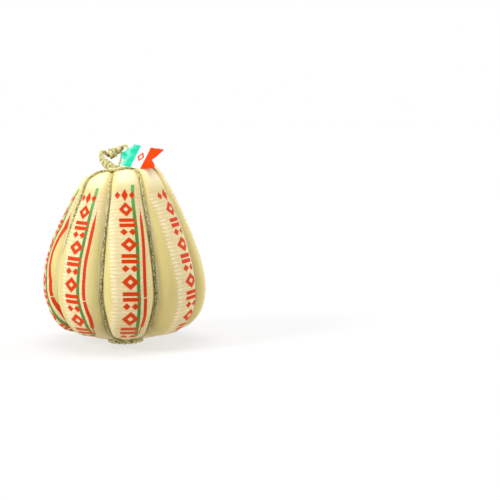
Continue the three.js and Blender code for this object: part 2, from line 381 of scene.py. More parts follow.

# A fold of film that covers the print down the right of one lobe, painted pale as a highlight
FOLDED_LOBE = 1
FILM_FOLD = 14  # its middle, across the print
FILM_FOLD_HALF = 1.7

# How far a lobe's print has slipped sideways, as (along, millimetres) pairs
FRONT_SLIP = ((92, -5), (125, -1.5), (150, 0), (187, -0.6), (265, -3.2), (324, -5.6))
PRINT_SLIP = (
    FRONT_SLIP,
    ((96, 14), (160, 14), (193, 12.3), (240, 10.5), (265, 12), (300, 11), (330, 7)),
    ((120, -4), (300, 3)),
    FRONT_SLIP,
    ((120, 5), (300, -2)),
    ((120, -2), (300, -5)),
    ((120, 15), (168, 14), (194, 6), (215, 2.5), (240, 3.5), (262, 6.5), (285, 4), (308, 1.6)),
    ((118, 2), (150, -1), (181, -2), (212, -4.7), (258, -6.2), (324, -8)),
)

# The sleeve's colours
FILM_PALE = srgb(217, 201, 134)
FILM_DEEP = srgb(213, 196, 127)
FILM_PLEAT_HIGHLIGHT = srgb(240, 232, 205)
FILM_RIGHT_PAINTED_LIGHT = srgb(225, 209, 141)
FILM_TOP_HIGHLIGHT = srgb(241, 230, 188)
FILM_GROOVE_SHADE = srgb(234, 206, 112)
FILM_FOLD_HIGHLIGHT = srgb(248, 240, 218)
CLOTH_DEEP = srgb(210, 188, 130)
CLOTH_PALE = srgb(243, 229, 190)
GREEN_LOW = srgb(72, 130, 56)
GREEN_HIGH = srgb(102, 166, 90)
RED_DEEP = srgb(200, 50, 0)
RED_BRIGHT = srgb(220, 66, 0)
UNDERSIDE = srgb(150, 125, 75)


def print_place(place, along, lobe, share):
    """Where a point of the skin is on the print, in millimetres across and along."""
    half_angle = math.radians((cord_angle(lobe) - cord_angle(lobe + LOBES - 1) + 360) / 2)
    across = (share * place.x * half_angle - between(PRINT_SLIP[lobe], along)) / PRINT_STRETCH[lobe]
    return across, along - PRINT_DROP[lobe] - PRINT_SLOPE[lobe] * across


def knit_lift(across, along, left, right):
    """How far the knit's ribs stand out, where the knit lies from left to right."""
    inside = rise(left - 5, left, across) * (1 - rise(right, right + 4, across))
    below_top = 1 - rise(KNIT_TOP - 12, KNIT_TOP + 3, along)
    rib = 0.5 + 0.5 * math.cos(2 * math.pi * along / KNIT_PITCH)
    uneven = 0.6 + 0.4 * math.sin(0.31 * across + 0.11 * along) * math.sin(0.23 * across - 0.17 * along)
    return RIB_HEIGHT * inside * below_top * (0.3 + rib * uneven)


def pleat_lift(place, share, lobe):
    """Small folds where the film gathers towards the knot and towards the ring."""
    near_knot = 1 - rise(40, 85, place.x) if place.y > BELLY_HEIGHT else 0
    near_ring = 1 - rise(50, 90, place.x) if place.y < BELLY_HEIGHT else 0
    fold = math.sin(9 * share + 2.1 * lobe) + 0.6 * math.sin(15 * share + 1.3 * lobe)
    return PLEAT_HEIGHT * fold * max(near_knot, near_ring)


def lobe_shares():
    """Where the columns of points are across a lobe, from -1 to 1: closer together towards the cords."""
    even = [2 * i / COLUMNS - 1 for i in range(COLUMNS + 1)]
    return [0.45 * t + 0.55 * math.sin(t * math.pi / 2) for t in even]


def sleeve_points(rows, shares):
    """The sleeve's points, row by row from the ring up, and what its material reads at each of them."""
    points = []
    read = {"seam": [], "knit_start": [], "knit_end": [], "folded": []}
    for place, outward, along in rows:
        for lobe in range(LOBES):
            left = KNIT_LEFT - KNIT_REACH[lobe]
            right = KNIT_RIGHT + KNIT_REACH_RIGHT[lobe]
            for share in shares[:-1]:
                clear_of_cord = 1 - rise(0.8, 0.98, abs(share))
                lift = knit_lift(*print_place(place, along, lobe, share), left, right)
                lift += pleat_lift(place, share, lobe)
                points.append(skin_point(place, outward, lobe, share, lift * clear_of_cord))
                read["seam"].append((1 - abs(share)) * place.x * math.pi / LOBES)
                read["knit_start"].append(left)
                read["knit_end"].append(right)
                read["folded"].append(1.0 if lobe == FOLDED_LOBE else 0.0)
    return points, read


def sleeve_faces(rows, shares):
    """The faces between the rows, and the print's UVs at their corners."""
    ring = LOBES * COLUMNS
    faces = []
    corners = []
    for i in range(len(rows) - 1):
        low, high = i * ring, (i + 1) * ring
        for c in range(ring):
            lobe, k = divmod(c, COLUMNS)
            after = (c + 1) % ring
            faces.append((low + c, low + after, high + after, high + c))
            for row, column in ((i, k), (i, k + 1), (i + 1, k + 1), (i + 1, k)):
                place, _, along = rows[row]
                across, up = print_place(place, along, lobe, shares[column])
                corners += (across / PRINT_UNIT, up / PRINT_UNIT)
    return faces, corners


def close_sleeve(points, faces, corners):
    """Adds the sag inside the rope ring, and the middles of the sag and of the dish on top."""
    ring = LOBES * COLUMNS
    top = len(points) - ring
    lower = 0
    for radius, height in SAG_PROFILE:
        start = len(points)
        for c in range(ring):
            angle = 2 * math.pi * c / ring - math.pi / LOBES
            points.append(Vector((radius * math.sin(angle), -radius * math.cos(angle), height)))
        for c in range(ring):
            after = (c + 1) % ring
            faces.append((start + c, start + after, lower + after, lower + c))
            corners += PLAIN_FILM * 4
        lower = start
    points += [Vector((0, 0, SAG_BOTTOM)), Vector((KNOT_OFFSET, 0, DISH_HEIGHT))]
    for c in range(ring):
        after = (c + 1) % ring
        faces.append((len(points) - 2, lower + after, lower + c))
        faces.append((len(points) - 1, top + c, top + after))
        corners += PLAIN_FILM * 6


def build_cheese(material):
    rows = crest_rows(ROW_STEP)
    shares = lobe_shares()
    points, read = sleeve_points(rows, shares)
    faces, corners = sleeve_faces(rows, shares)
    printed = len(points)
    close_sleeve(points, faces, corners)
    made = make_object("cheese_sleeve", points, faces, material)
    layer = made.data.uv_layers.new(name="print")
    layer.data.foreach_set("uv", corners)
    for name, values in read.items():
        elsewhere = FAR_FROM_CORDS if name == "seam" else 0.0
        point_attribute(made, name, values + [elsewhere] * (len(points) - printed))
    dress(made, "cheese")


def lozenge(n, x, y, half_width, half_height):
    """0 in the middle of a lozenge, 1 on its outline and more outside it."""
    sideways = n.math("ABSOLUTE", n.math("DIVIDE", x, half_width))
    upwards = n.math("ABSOLUTE", n.math("DIVIDE", y, half_height))
    return n.math("ADD", sideways, upwards)


def printed_column(n, across, along):
    """The column of motifs, with a mark of three lozenges over it.

    Each unit has a hollow lozenge, a pair of bars and a pair of small lozenges.
    """
    down = n.math("SUBTRACT", COLUMN_TOP, along)
    unit = n.math("MODULO", down, UNIT)
    x = n.math("SUBTRACT", across, COLUMN_MIDDLE)
    aside = n.math("ABSOLUTE", x)
    widening = COLUMN_HALF - COLUMN_HALF_AT_TOP
    half = n.math("MULTIPLY_ADD", n.ramp(down, 0, 40), widening, COLUMN_HALF_AT_TOP)
    reach = lozenge(n, x, n.math("SUBTRACT", unit, LOZENGE_HALF), half, LOZENGE_HALF)
    hollow = n.band(reach, 0.68, 0.34, 0.04)
    bars = n.math("ADD", *(n.band(unit, middle, BAR_HEIGHT / 2) for middle in BARS_DOWN))
    bars = n.times(bars, n.ramp(n.math("SUBTRACT", half, aside), 0, 0.8))
    from_small = n.math("SUBTRACT", aside, SMALL_ASIDE)
    small = lozenge(n, from_small, n.math("SUBTRACT", unit, SMALL_DOWN), *SMALL_HALF)
    motifs = n.highest(hollow, bars, n.ramp(small, 1.05, 0.95))
    column = n.times(motifs, n.ramp(down, 0, 0.6), n.ramp(along, COLUMN_END, COLUMN_END + 1))
    from_mark = n.math("SUBTRACT", along, MARK_ALONG)
    tall = lozenge(n, x, from_mark, *MARK_HALF)
    beside = lozenge(n, n.math("SUBTRACT", aside, MARK_ASIDE), from_mark, *MARK_SIDE_HALF)
    mark = n.ramp(n.math("MINIMUM", tall, beside), 1.05, 0.95)
    return n.highest(column, mark)


def red_stripe(n, across, along):
    """It starts as a point, has one break, and bends to the left and grows thin under the cheese."""
    bent = n.math("MULTIPLY_ADD", n.ramp(along, RED_BEND, RED_END - 6), -RED_SWING, RED_MIDDLE)
    thin = n.math("MULTIPLY_ADD", n.ramp(along, RED_THIN + 0.5, RED_THIN - 0.5), -RED_LOSS, 1.0)
    width = n.times(n.ramp(along, RED_POINT, RED_FULL), thin)
    away = n.math("ABSOLUTE", n.math("SUBTRACT", across, bent))
    inside = n.ramp(n.math("SUBTRACT", n.times(width, STRIPE_HALF), away), -0.3, 0.3)
    gap = n.ramp(n.math("ABSOLUTE", n.math("SUBTRACT", along, RED_BREAK)), 0.5, 1.1)
    return n.times(inside, gap, n.ramp(along, RED_END - 1, RED_END + 1))


def sleeve_material():
    n = Nodes("sleeve")
    uv = n.tree.nodes.new("ShaderNodeUVMap")
    uv.uv_map = "print"
    parts = n.tree.nodes.new("ShaderNodeSeparateXYZ")
    n.tree.links.new(uv.outputs["UV"], parts.inputs[0])
    across = n.times(parts.outputs["X"], PRINT_UNIT)
    along = n.times(parts.outputs["Y"], PRINT_UNIT)

    # The knit shows between its edges, and the ends of its ribs fray them like a comb
    warp = n.noise(n.vector(n.times(across, 0.11), n.times(along, 0.05), 3.0), 1.0)
    row = n.times(n.math("MULTIPLY_ADD", warp, 4.0, along), 2 * math.pi / KNIT_PITCH)
    ragged = n.noise(n.vector(n.times(across, 0.04), n.times(along, 0.3)), 1.0)
    comb = n.math("MULTIPLY_ADD", ragged, 6.0, n.times(n.math("COSINE", row), 1.6))
    inward = n.math("SUBTRACT", n.math("ADD", across, comb), n.attribute("knit_start"))
    outward = n.math("SUBTRACT", n.math("SUBTRACT", across, comb), n.attribute("knit_end"))
    knit = n.times(
        n.ramp(inward, 1.2, 3.8),
        n.ramp(outward, -2, -4.6),
        n.ramp(n.math("ADD", along, comb), KNIT_TOP + 5, KNIT_TOP - 9),
    )

    # Film colour, very faintly streaked up and down, with a painted highlight on the small pleats beside the
    # cords
    streaks = n.noise(n.vector(n.times(across, 0.12), n.times(along, 0.02)), 1.0)
    film = n.mixed(n.ramp(streaks, 0.3, 0.7), FILM_PALE, FILM_DEEP)
    # Painted light: the film is paler on the right part of each lobe
    film = n.mixed(n.ramp(across, 26, 38), film, FILM_RIGHT_PAINTED_LIGHT)
    seam = n.attribute("seam")
    pleats = n.noise(n.vector(n.times(seam, 0.5), n.times(along, 0.05), 11.0), 1.0)
    pleat_highlight = n.times(n.ramp(seam, 8, 4), n.ramp(pleats, 0.35, 0.6), 0.85)
    film = n.mixed(pleat_highlight, film, FILM_PLEAT_HIGHLIGHT)
    # A painted highlight: the film turns paler and whiter towards the top
    film = n.mixed(n.ramp(along, 326, 358), film, FILM_TOP_HIGHLIGHT)
    # Painted shade: the film is warmer and darker close to the cords on the top
    groove_shade = n.times(n.ramp(seam, 15, 4), n.ramp(along, 300, 345), 0.6)
    film = n.mixed(groove_shade, film, FILM_GROOVE_SHADE)

    # Cloth colour: ribs, palest at their left ends, over small checks where the film shows between stitches
    rib = n.ramp(n.math("COSINE", row), -1, -0.1)
    stitch = n.math("COSINE", n.math("MULTIPLY_ADD", warp, 9.0, n.times(across, 2 * math.pi / STITCH_PITCH)))
    checks = n.math("MULTIPLY_ADD", n.times(stitch, n.math("COSINE", n.times(row, 2.0))), 0.5, 0.5)
    threads = n.noise(n.vector(n.times(across, 0.3), n.times(along, 1.3)), 1.0, 3.0)
    patches = n.noise(n.vector(across, along, 7.0), 0.08)
    # A painted highlight: the ribs are palest near their left ends
    rib_end_highlight = n.ramp(inward, 15, 6)
    broken = n.noise(n.vector(n.times(across, 0.13), n.times(along, 0.4), 5.0), 1.0)
    ribs = n.times(rib, n.math("MULTIPLY_ADD", rib_end_highlight, 0.22, 0.16), n.ramp(broken, 0.25, 0.55))
    cloth_tone = n.math("MULTIPLY_ADD", checks, 0.22, ribs)
    cloth_tone = n.math("MULTIPLY_ADD", threads, 0.5, cloth_tone)
    cloth_tone = n.math("MULTIPLY_ADD", patches, 0.3, cloth_tone)
    cloth = n.mixed(n.ramp(cloth_tone, 0.3, 1.05), CLOTH_DEEP, CLOTH_PALE)
    colour = n.mixed(knit, film, cloth)

    # The print, a little uneven at its edges, over the threads
    sway = n.times(n.math("SINE", n.times(along, 0.045)), 0.8)
    uneven = n.math("MULTIPLY_ADD", n.noise(n.vector(across, along), 0.5, 1.0), 1.0, -0.5)
    x = n.math("ADD", n.math("ADD", across, sway), uneven)
    green_reach = n.times(n.ramp(along, GREEN_TOP, GREEN_TOP - 2), n.ramp(along, GREEN_END, GREEN_END + 6))
    green = n.times(n.band(x, GREEN_MIDDLE, STRIPE_HALF), green_reach)
    high = n.ramp(along, 270, 335)
    colour = n.mixed(green, colour, n.mixed(high, GREEN_LOW, GREEN_HIGH))
    red = n.mixed(n.ramp(threads, 0.3, 0.8), RED_DEEP, RED_BRIGHT)
    colour = n.mixed(n.highest(printed_column(n, x, along), red_stripe(n, x, along)), colour, red)

    # The pale fold over the print, painted as a highlight, and the underside darkened with painted shade
    fold_reach = n.times(n.ramp(along, 140, 215), n.ramp(along, 340, 310))
    fold = n.times(n.band(across, FILM_FOLD, FILM_FOLD_HALF, 0.8), fold_reach)
    # The fold's paleness is a painted highlight
    colour = n.mixed(n.times(n.attribute("folded"), fold, 0.75), colour, FILM_FOLD_HIGHLIGHT)
    # Painted shade: the sleeve grows darker towards the ring
    colour = n.mixed(n.times(n.ramp(along, 130, 85), 0.25), colour, UNDERSIDE)

    # Relief: the knit's rows, and fine creases in the film
    creases = n.noise(n.vector(n.times(across, 0.5), n.times(along, 0.05)), 1.0, 3.0)
    n.bump(n.math("ADD", n.times(cloth_tone, knit), n.times(creases, 0.15)), 0.6, 0.5)
    roughness = n.math("MULTIPLY_ADD", knit, 0.2, 0.32)
    return n.finish(colour, roughness, Specular_IOR_Level=0.12)


# Rope: a tube whose section is a bundle of strands, turning as it goes
STRAND_PLACE = 0.4  # the middle of a strand, as a share of the rope's radius


def smooth_path(points, step, closed=False):
    """A curve through the points (Catmull-Rom), cut about a step apart."""
    points = [Vector(p) for p in points]
    count = len(points) if closed else len(points) - 1
    path = []
    for i in range(count):
        if closed:
            a, b, c, d = (points[(i + k) % len(points)] for k in (-1, 0, 1, 2))
        else:
            b, c = points[i], points[i + 1]
            a = points[i - 1] if i else b - (c - b)
            d = points[i + 2] if i + 2 < len(points) else c + (c - b)
        cuts = max(1, round((c - b).length / step))
        for k in range(cuts):
            t = k / cuts
            squared = (2 * a - 5 * b + 4 * c - d) * t * t
            cubed = (3 * b - a - 3 * c + d) * t**3
            path.append(0.5 * (2 * b + (c - a) * t + squared + cubed))
    if not closed:
        path.append(points[-1])
    return path


def carried_frames(path, closed=False):
    """A tangent and two directions across it at each point, carried along the path without turning."""
    count = len(path)
    tangents = []
    for i in range(count):
        before = path[i - 1] if i or closed else path[0]
        after = path[(i + 1) % count] if i < count - 1 or closed else path[-1]
        tangents.append((after - before).normalized())
    normal = tangents[0].orthogonal().normalized()
    frames = []
    for tangent in tangents:
        normal = (normal - tangent * normal.dot(tangent)).normalized()
        frames.append((tangent, normal, tangent.cross(normal)))
    return frames


def lengths_along(path):
    """How far each point of a path is from its start, along it."""
    lengths = [0.0]
    for before, after in zip(path, path[1:]):
        lengths.append(lengths[-1] + (after - before).length)
    return lengths


def rope_run(path, radius, strands, pitch, sides, closed=False, start=0.0, shade=0.0):
    """A rope's points and faces, and the crease, along and shade values at its points.

    The radius and the shade may be functions of how far along the rope a point is, from 0 to 1.
    """
    frames = carried_frames(path, closed)
    lengths = lengths_along(path)
    total = lengths[-1] + ((path[0] - path[-1]).length if closed else 0)
    if closed:
        pitch = total / round(total / pitch)
    points, creases, alongs = [], [], []
    wedge = math.pi / strands
    for centre, (_, normal, across), along in zip(path, frames, lengths):
        size = radius(along / total) if callable(radius) else radius
        turn = 2 * math.pi * along / pitch + start
        for j in range(sides):
            angle = 2 * math.pi * j / sides
            off = (angle - turn + wedge) % (2 * wedge) - wedge  # the angle from the nearest strand's middle
            strand = (1 - STRAND_PLACE) * size
            out = STRAND_PLACE * size * math.cos(off)
            out += math.sqrt(strand**2 - (STRAND_PLACE * size * math.sin(off)) ** 2)
            points.append(centre + (normal * math.cos(angle) + across * math.sin(angle)) * out)
            creases.append(abs(off) / wedge)
            alongs.append(along + start * 10)  # so that no two ropes have the same fibres
    faces = []
    rings = len(path) if closed else len(path) - 1
    for i in range(rings):
        low, high = i * sides, (i + 1) % len(path) * sides
        for j in range(sides):
            after = (j + 1) % sides
            faces.append((low + j, low + after, high + after, high + j))
    if not closed:
        faces.append(tuple(reversed(range(sides))))
        faces.append(tuple(range((len(path) - 1) * sides, len(path) * sides)))
    shades = [shade(along / total) if callable(shade) else shade for along in lengths for _ in range(sides)]
    return points, faces, creases, alongs, shades


def rope_object(name, runs, material):
    points, faces, creases, alongs, shades = [], [], [], [], []
    for run_points, run_faces, run_creases, run_alongs, run_shades in runs:
        faces += [tuple(i + len(points) for i in face) for face in run_faces]
        points += run_points
        creases += run_creases
        alongs += run_alongs
        shades += run_shades
    made = make_object(name, points, faces, material)
    point_attribute(made, "crease", creases)
    point_attribute(made, "along", alongs)
    point_attribute(made, "shade", shades)
    return made


# Each rope's pale, middle and dark colours, its flecks' size in millimetres, and their share high and low
CORD_ROPE = (srgb(226, 216, 164), srgb(188, 180, 116), srgb(96, 92, 34), 2.6, 0.2, 0.46)
LOOP_ROPE = (srgb(240, 233, 182), srgb(214, 205, 142), srgb(134, 122, 58), 3.0, 0.12, 0.4)
RING_ROPE = (srgb(226, 218, 168), srgb(192, 184, 124), srgb(112, 104, 44), 2.8, 0.2, 0.3)
FEWEST_HEIGHT = 0.27  # where flecks are fewest, in metres, as materials measure
MOST_HEIGHT = 0.16


def rope_material(name, pale, middle, dark, fleck_size, fewest, most):
    """Rope in pale and middle fibres with dark flecks, few on top and more from the cheese's belly down."""
    n = Nodes(name)
    crease = n.attribute("crease")
    along = n.attribute("along")
    height = n.tree.nodes.new("ShaderNodeSeparateXYZ")
    n.tree.links.new(n.place(), height.inputs[0])
    patches = n.noise(n.place(), 1 / (fleck_size * MM))
    low_down = n.ramp(height.outputs["Z"], FEWEST_HEIGHT, MOST_HEIGHT)
    share = n.math("MULTIPLY_ADD", low_down, most - fewest, fewest)
    limit = n.math("SUBTRACT", 0.72, n.times(share, 0.4))
    # Dark flecks, with painted shade in the creases between strands, where flecks come more often
    fleck_and_crease_shade = n.math("MULTIPLY_ADD", crease, 0.14, patches)
    fleck = n.ramp(n.math("SUBTRACT", fleck_and_crease_shade, limit), -0.03, 0.06)
    fibres = n.noise(n.vector(n.times(along, 0.5), n.times(crease, 6.0)), 1.4, 4.0)
    straw = n.mixed(n.ramp(fibres, 0.3, 0.7), pale, middle)
    # The shade attribute paints shade onto ropes where they pass under or inside others
    colour = n.mixed(n.highest(fleck, n.attribute("shade")), straw, dark)
    n.bump(fibres, 0.5, 0.8)
    return n.finish(colour, 0.8, Specular_IOR_Level=0.3)


# The cords: each follows its groove from the ring up, and ends under the knot
CORD_PITCH = 15  # a full turn of its strands
CORD_STEP = 2.5
CORD_CLEARANCE = 0.2  # above the groove's floor
CORD_LEAVES_SKIN = 16.6  # at this radius, on top
CORD_END = 12  # how far from the knot's middle it ends
# How much further than usual the cords stand out of their grooves, as (height, millimetres) pairs
CORD_LIFT = ((30, 5), (110, 0), (225, 0), (280, -1.7))
SUNK_CORD_LIFT = ((30, 5), (110, 0), (160, 0), (200, -3), (282, -3), (292, 1))
TAUT_CORD_LIFT = ((30, 5), (110, 0), (235, 0), (272, 1.2), (291, 3.6))
FRONT_CORD_LIFT = ((30, 5), (110, 0), (225, 0), (262, -1), (284, -2.4), (292, -3))
CORD_LIFTS = {1: SUNK_CORD_LIFT, 6: TAUT_CORD_LIFT, 7: FRONT_CORD_LIFT}


def build_cords(material):
    rows = crest_rows(CORD_STEP)
    knot = Vector((KNOT_OFFSET, 0, DISH_HEIGHT - 2))
    for k in range(LOBES):
        path = []
        for place, outward, _ in rows:
            if place.x > CORD_LEAVES_SKIN:
                further = between(CORD_LIFTS.get(k, CORD_LIFT), place.y)
                if place.y < BELLY_HEIGHT:
                    further *= rise(34, 60, place.x)
                path.append(skin_point(place, outward, k, 1, CORD_RADIUS + CORD_CLEARANCE + further))
        path.append(knot + (path[-1] - knot).normalized() * CORD_END)
        run = rope_run(smooth_path(path, 1.2), CORD_RADIUS, 3, CORD_PITCH, 18, start=k * 0.9)
        dress(rope_object(f"cord_twisted_{k + 1}", [run], material), f"cord_{k + 1}")


# The ring under the cheese and the knot on top, as in the CAD part
RING_RADIUS = 26
RING_ROPE_RADIUS = 4.5
PRESSED = 0.88  # of a rope's radius, from its middle down to where it is pressed flat
KNOT_RADIUS = 12
KNOT_ROPE_RADIUS = 3.8
GAP = 0.35
KNOT_HEIGHT = DISH_HEIGHT + GAP + PRESSED * KNOT_ROPE_RADIUS


def circle(radius, height, middle_x=0.0, count=48):
    turns = [2 * math.pi * i / count for i in range(count)]
    return [Vector((middle_x + radius * math.cos(t), radius * math.sin(t), height)) for t in turns]


def build_base_ring(material):
    path = smooth_path(circle(RING_RADIUS, PRESSED * RING_ROPE_RADIUS), 1.5, closed=True)
    run = rope_run(path, RING_ROPE_RADIUS, 2, 21, 22, closed=True)
    pressed = [Vector((p.x, p.y, min(max(p.z, 0.0), (1 + PRESSED) * RING_ROPE_RADIUS))) for p in run[0]]
    dress(rope_object("base_ring_rope", [(pressed, *run[1:])], material), "base_ring")


def build_top_knot(material):
    """A rope round the knot's rim, and strands that cross it and lead to the loop."""
    rim = smooth_path(circle(KNOT_RADIUS - 1.5, KNOT_HEIGHT, KNOT_OFFSET, 24), 1.2, closed=True)
    runs = [rope_run(rim, KNOT_ROPE_RADIUS - 0.3, 3, 16, 20, closed=True)]
    z = KNOT_HEIGHT
    strands = (
        ((-25, -4, z), (-18, -3, z + 1.6), (-10, 1, z + 1.2), (-3, 3, z)),
        ((-22, 6, z), (-15, 3, z + 1.4), (-8, -3, z + 1.8), (-4, -8, z)),
        ((-17, -9, z), (-14, -2, z + 0.6), (-12, 6, z + 1), (-12, 10, z)),
        ((-12, -10, z + 1), (-4, -11, z + 1.4), (2.5, -11, z - 0.6), (4.5, -11, z - 2)),
        ((-6, -6, z + 2), (4, -9, z + 2.2), (9, -10, z + 1), (13, -10.5, z + 1.6), (19, -10, z + 4.4)),
    )
    for i, points in enumerate(strands):
        runs.append(rope_run(smooth_path(points, 1.0), 2.3, 2, 11, 14, start=i * 1.3))
    dress(rope_object("top_knot_rope", runs, material), "top_knot")


# The hanging loop
LOOP_FOOT = KNOT_HEIGHT + KNOT_ROPE_RADIUS + GAP
LOOP_LEAN = 0.3  # how far it leans back for its height
LOOP_BACK = Vector((0, 1, -LOOP_LEAN)).normalized()


def in_loop(*pairs):
    """Points of the loop from pairs of x and z, as it is drawn from the front."""
    return [Vector((x, (z - LOOP_FOOT) * LOOP_LEAN, z)) for x, z in pairs]


# The plait: strands that swing from side to side round a core, and the cord that leads on into the coil
PLAIT = in_loop(
    (-15, LOOP_FOOT - 5),
    (-26.6, 299.2),
    (-33.6, 305.8),
    (-36.6, 311.8),
    (-36.6, 317),
    (-35.2, 321.6),
)
INTO_COIL = PLAIT[-2:] + in_loop((-31.8, 321), (-29, 317), (-25.5, 315), (-20, 317))
INTO_COIL_RADIUS = 2.9
PLAIT_STRANDS = 4
PLAIT_PITCH = 27
PLAIT_CORE = 0.55  # this and the next three are shares of the plait's half width
PLAIT_STRAND = 0.42
PLAIT_ASIDE = 0.6
PLAIT_BACK = 0.34


def plait_half_width(share):
    return mix(8.2, 3.6, rise(0.3, 1, share))


def plait_strand_radius(share):
    return PLAIT_STRAND * plait_half_width(share)


def woven_strand(path, lengths, first):
    """The way of one strand round the plait's core."""
    woven = []
    for i, centre in enumerate(path):
        way = path[min(i + 1, len(path) - 1)] - path[max(i - 1, 0)]
        side = way.normalized().cross(LOOP_BACK)
        half = plait_half_width(lengths[i] / lengths[-1])
        phase = 2 * math.pi * (lengths[i] / PLAIT_PITCH + first)
        aside = PLAIT_ASIDE * half * math.sin(phase)
        back = PLAIT_BACK * half * math.sin(2 * phase)
        woven.append(centre + side * aside + LOOP_BACK * back)
    return woven


def under_others(length, first):
    """How dark a strand is along itself, in painted shade: darkest where it passes under the others."""
    return lambda t: 0.7 * rise(-0.3, 0.7, math.sin(4 * math.pi * (t * length / PLAIT_PITCH + first)))


def build_plait(material):
    path = smooth_path(PLAIT, 0.8)
    lengths = lengths_along(path)
    runs = [rope_run(path, lambda t: PLAIT_CORE * plait_half_width(t), 3, 14, 16)]
    for strand in range(PLAIT_STRANDS):
        first = strand / PLAIT_STRANDS
        woven = woven_strand(path, lengths, first)
        shade = under_others(lengths[-1], first)
        runs.append(rope_run(woven, plait_strand_radius, 2, 11, 14, start=strand * 2.0, shade=shade))
    runs.append(rope_run(smooth_path(INTO_COIL[:3], 0.8), INTO_COIL_RADIUS, 2, 9, 14))
    # Painted shade: the last part, under the coil, is dark
    runs.append(rope_run(smooth_path(INTO_COIL[2:], 0.8), INTO_COIL_RADIUS, 2, 9, 14, shade=0.75))
    dress(rope_object("loop_plait_rope", runs, material), "loop_plait")


# The coil: thick cord wound in two heaps, a small bight at its right end, and a strand inside the bight
# painted dark as shade
COIL_START, COIL_END = in_loop((-30.4, 312.6), (-1.5, 326))
COIL_HEAPS = (  # how far out the wound cord reaches, as (share of the coil's length, millimetres) pairs
    (0.16, 4), (0.27, 7.8), (0.41, 9.6), (0.53, 8.2), (0.62, 5.4),
    (0.67, 4.9), (0.75, 6.8), (0.82, 6.6), (0.9, 4.8), (0.96, 3.4),
)
LONG_RUN_TURNS = 5
GAP_BETWEEN_HEAPS = 0.64  # as a share of the long run of turns
BIGHT = in_loop((-6, 324), (-3, 328.6), (2.2, 330.6), (6.9, 328.2), (8.2, 323.6), (5.6, 319))
BIGHT_SHADOW_STRAND = in_loop((-4.4, 323), (-1.8, 326.6), (0.8, 325.4))


def wound(first, last, turns, radius, slant, start=0.0):
    """Turns of cord on the coil's heaps, from one share of its length to another."""
    way = COIL_END - COIL_START
    along = way.normalized()
    down = LOOP_BACK.cross(along)
    side = along.cross(down)
    points = []
    cuts = round(turns * 30)  # 30 points in a turn
    for i in range(cuts + 1):
        share = mix(first, last, i / cuts)
        angle = 2 * math.pi * turns * i / cuts + start
        centre = COIL_START + way * share + along * (slant * math.cos(angle))
        out = between(COIL_HEAPS, share) - radius
        points.append(centre + (down * math.cos(angle) + side * math.sin(angle)) * out)
    return points


def underneath(turns, start=0.0):
    """How dark a wound run is along itself, in painted shade: darkest where it passes under the coil."""
    return lambda t: 0.8 * rise(0.2, 1, math.cos(2 * math.pi * turns * t + start))


def between_heaps(t):
    """How dark the long run of turns is, in painted shade: also dark in the gap between the two heaps."""
    gap = 0.8 * (1 - rise(0.02, 0.1, abs(t - GAP_BETWEEN_HEAPS)))
    return max(gap, underneath(LONG_RUN_TURNS)(t))


def build_coil(material):
    core = [COIL_START.lerp(COIL_END, 0.1), COIL_START.lerp(COIL_END, 0.5), COIL_END]
    left_heap = wound(0.29, 0.52, 2, 3.1, -3.4, 1.0)
    right_heap = wound(0.71, 0.84, 1.5, 2.7, -2.2, 2.2)
    runs = [
        rope_run(wound(0.2, 0.9, LONG_RUN_TURNS, 2.9, 1.6), 2.9, 2, 12, 16, shade=between_heaps),
        rope_run(left_heap, 3.1, 3, 16, 18, start=1.0, shade=underneath(2, 1.0)),
        rope_run(right_heap, 2.7, 3, 14, 16, start=2.0, shade=underneath(1.5, 2.2)),
        # Painted shade: the core is fully dark inside the turns
        rope_run(smooth_path(core, 1.5), 3.4, 3, 14, 16, shade=1.0),
        rope_run(smooth_path(BIGHT, 0.8), lambda t: mix(2.2, 2.9, t), 2, 11, 16),
        # Painted shade: this strand is fully dark, filling the hole inside the bight
        rope_run(smooth_path(BIGHT_SHADOW_STRAND, 0.8), 2, 2, 11, 16, shade=1.0),
    ]
    dress(rope_object("loop_coil_rope", runs, material), "loop_coil")


# The single cord at the loop's right, thinner where the label is folded round it
LEG_RADIUS = 2.2
LEG = in_loop((-9.4, LOOP_FOOT - 3), (-7, 300.5), (-4.4, 307), (-3, 320), (-3, 324.5))


def build_leg(material):
    run = rope_run(smooth_path(LEG, 0.8), lambda t: LEG_RADIUS - 0.6 * rise(0.4, 0.55, t), 2, 10, 14)
    dress(rope_object("loop_leg_rope", [run], material), "loop_leg")


# The label, in its own directions, close to the CAD part's
LABEL_WIDTH = 60
LABEL_HEIGHT = 46
NOTCH_HEIGHT = 22
# How far it reaches to the right, as (height, reach) pairs
LABEL_ENDS = ((0, 68), (7, 65.5), (15, 59.5), (NOTCH_HEIGHT, 51.2), (LABEL_HEIGHT, 62.6))
LABEL_COLUMNS = 48
LABEL_ROWS = 36
LABEL_THICKNESS = 0.8  # the CAD label's, in the middle of which this sheet lies
SHEET_THICKNESS = 0.5
FOLD_LOW = 12
FOLD_HIGH = 42
FOLD_COLUMNS = 22
FOLD_ROWS = 10
FOLD_TURN = 300  # degrees round the cord
FOLD_RADIUS = 1.9
FOLD_ASIDE = -1.2  # how far the fold's middle is from the cord's
LABEL_ACROSS = Vector((0.75, -0.652, -0.115)).normalized()
LABEL_UP = Vector((0.515, 0.47, 0.717)).normalized()
LABEL_FACING = LABEL_ACROSS.cross(LABEL_UP).normalized()
LABEL_CORNER = Vector((-5.1, -12.6, 299))
GREEN_BAND_END = 20
WHITE_BAND_END = 39.6
BAND_LEAN = 0.12  # the bands lean back to the left as they go up
LABEL_MARK_HEIGHT = 24
LABEL_MARK_HALF = (7.4, 10.5)  # half the width and height of the lozenge in the white band
LABEL_GREEN = srgb(18, 192, 148)
LABEL_GREEN_PALE = srgb(48, 204, 168)
LABEL_HIGHLIGHT = srgb(128, 228, 204)
LABEL_WHITE = srgb(240, 241, 242)
LABEL_RED = srgb(228, 62, 0)
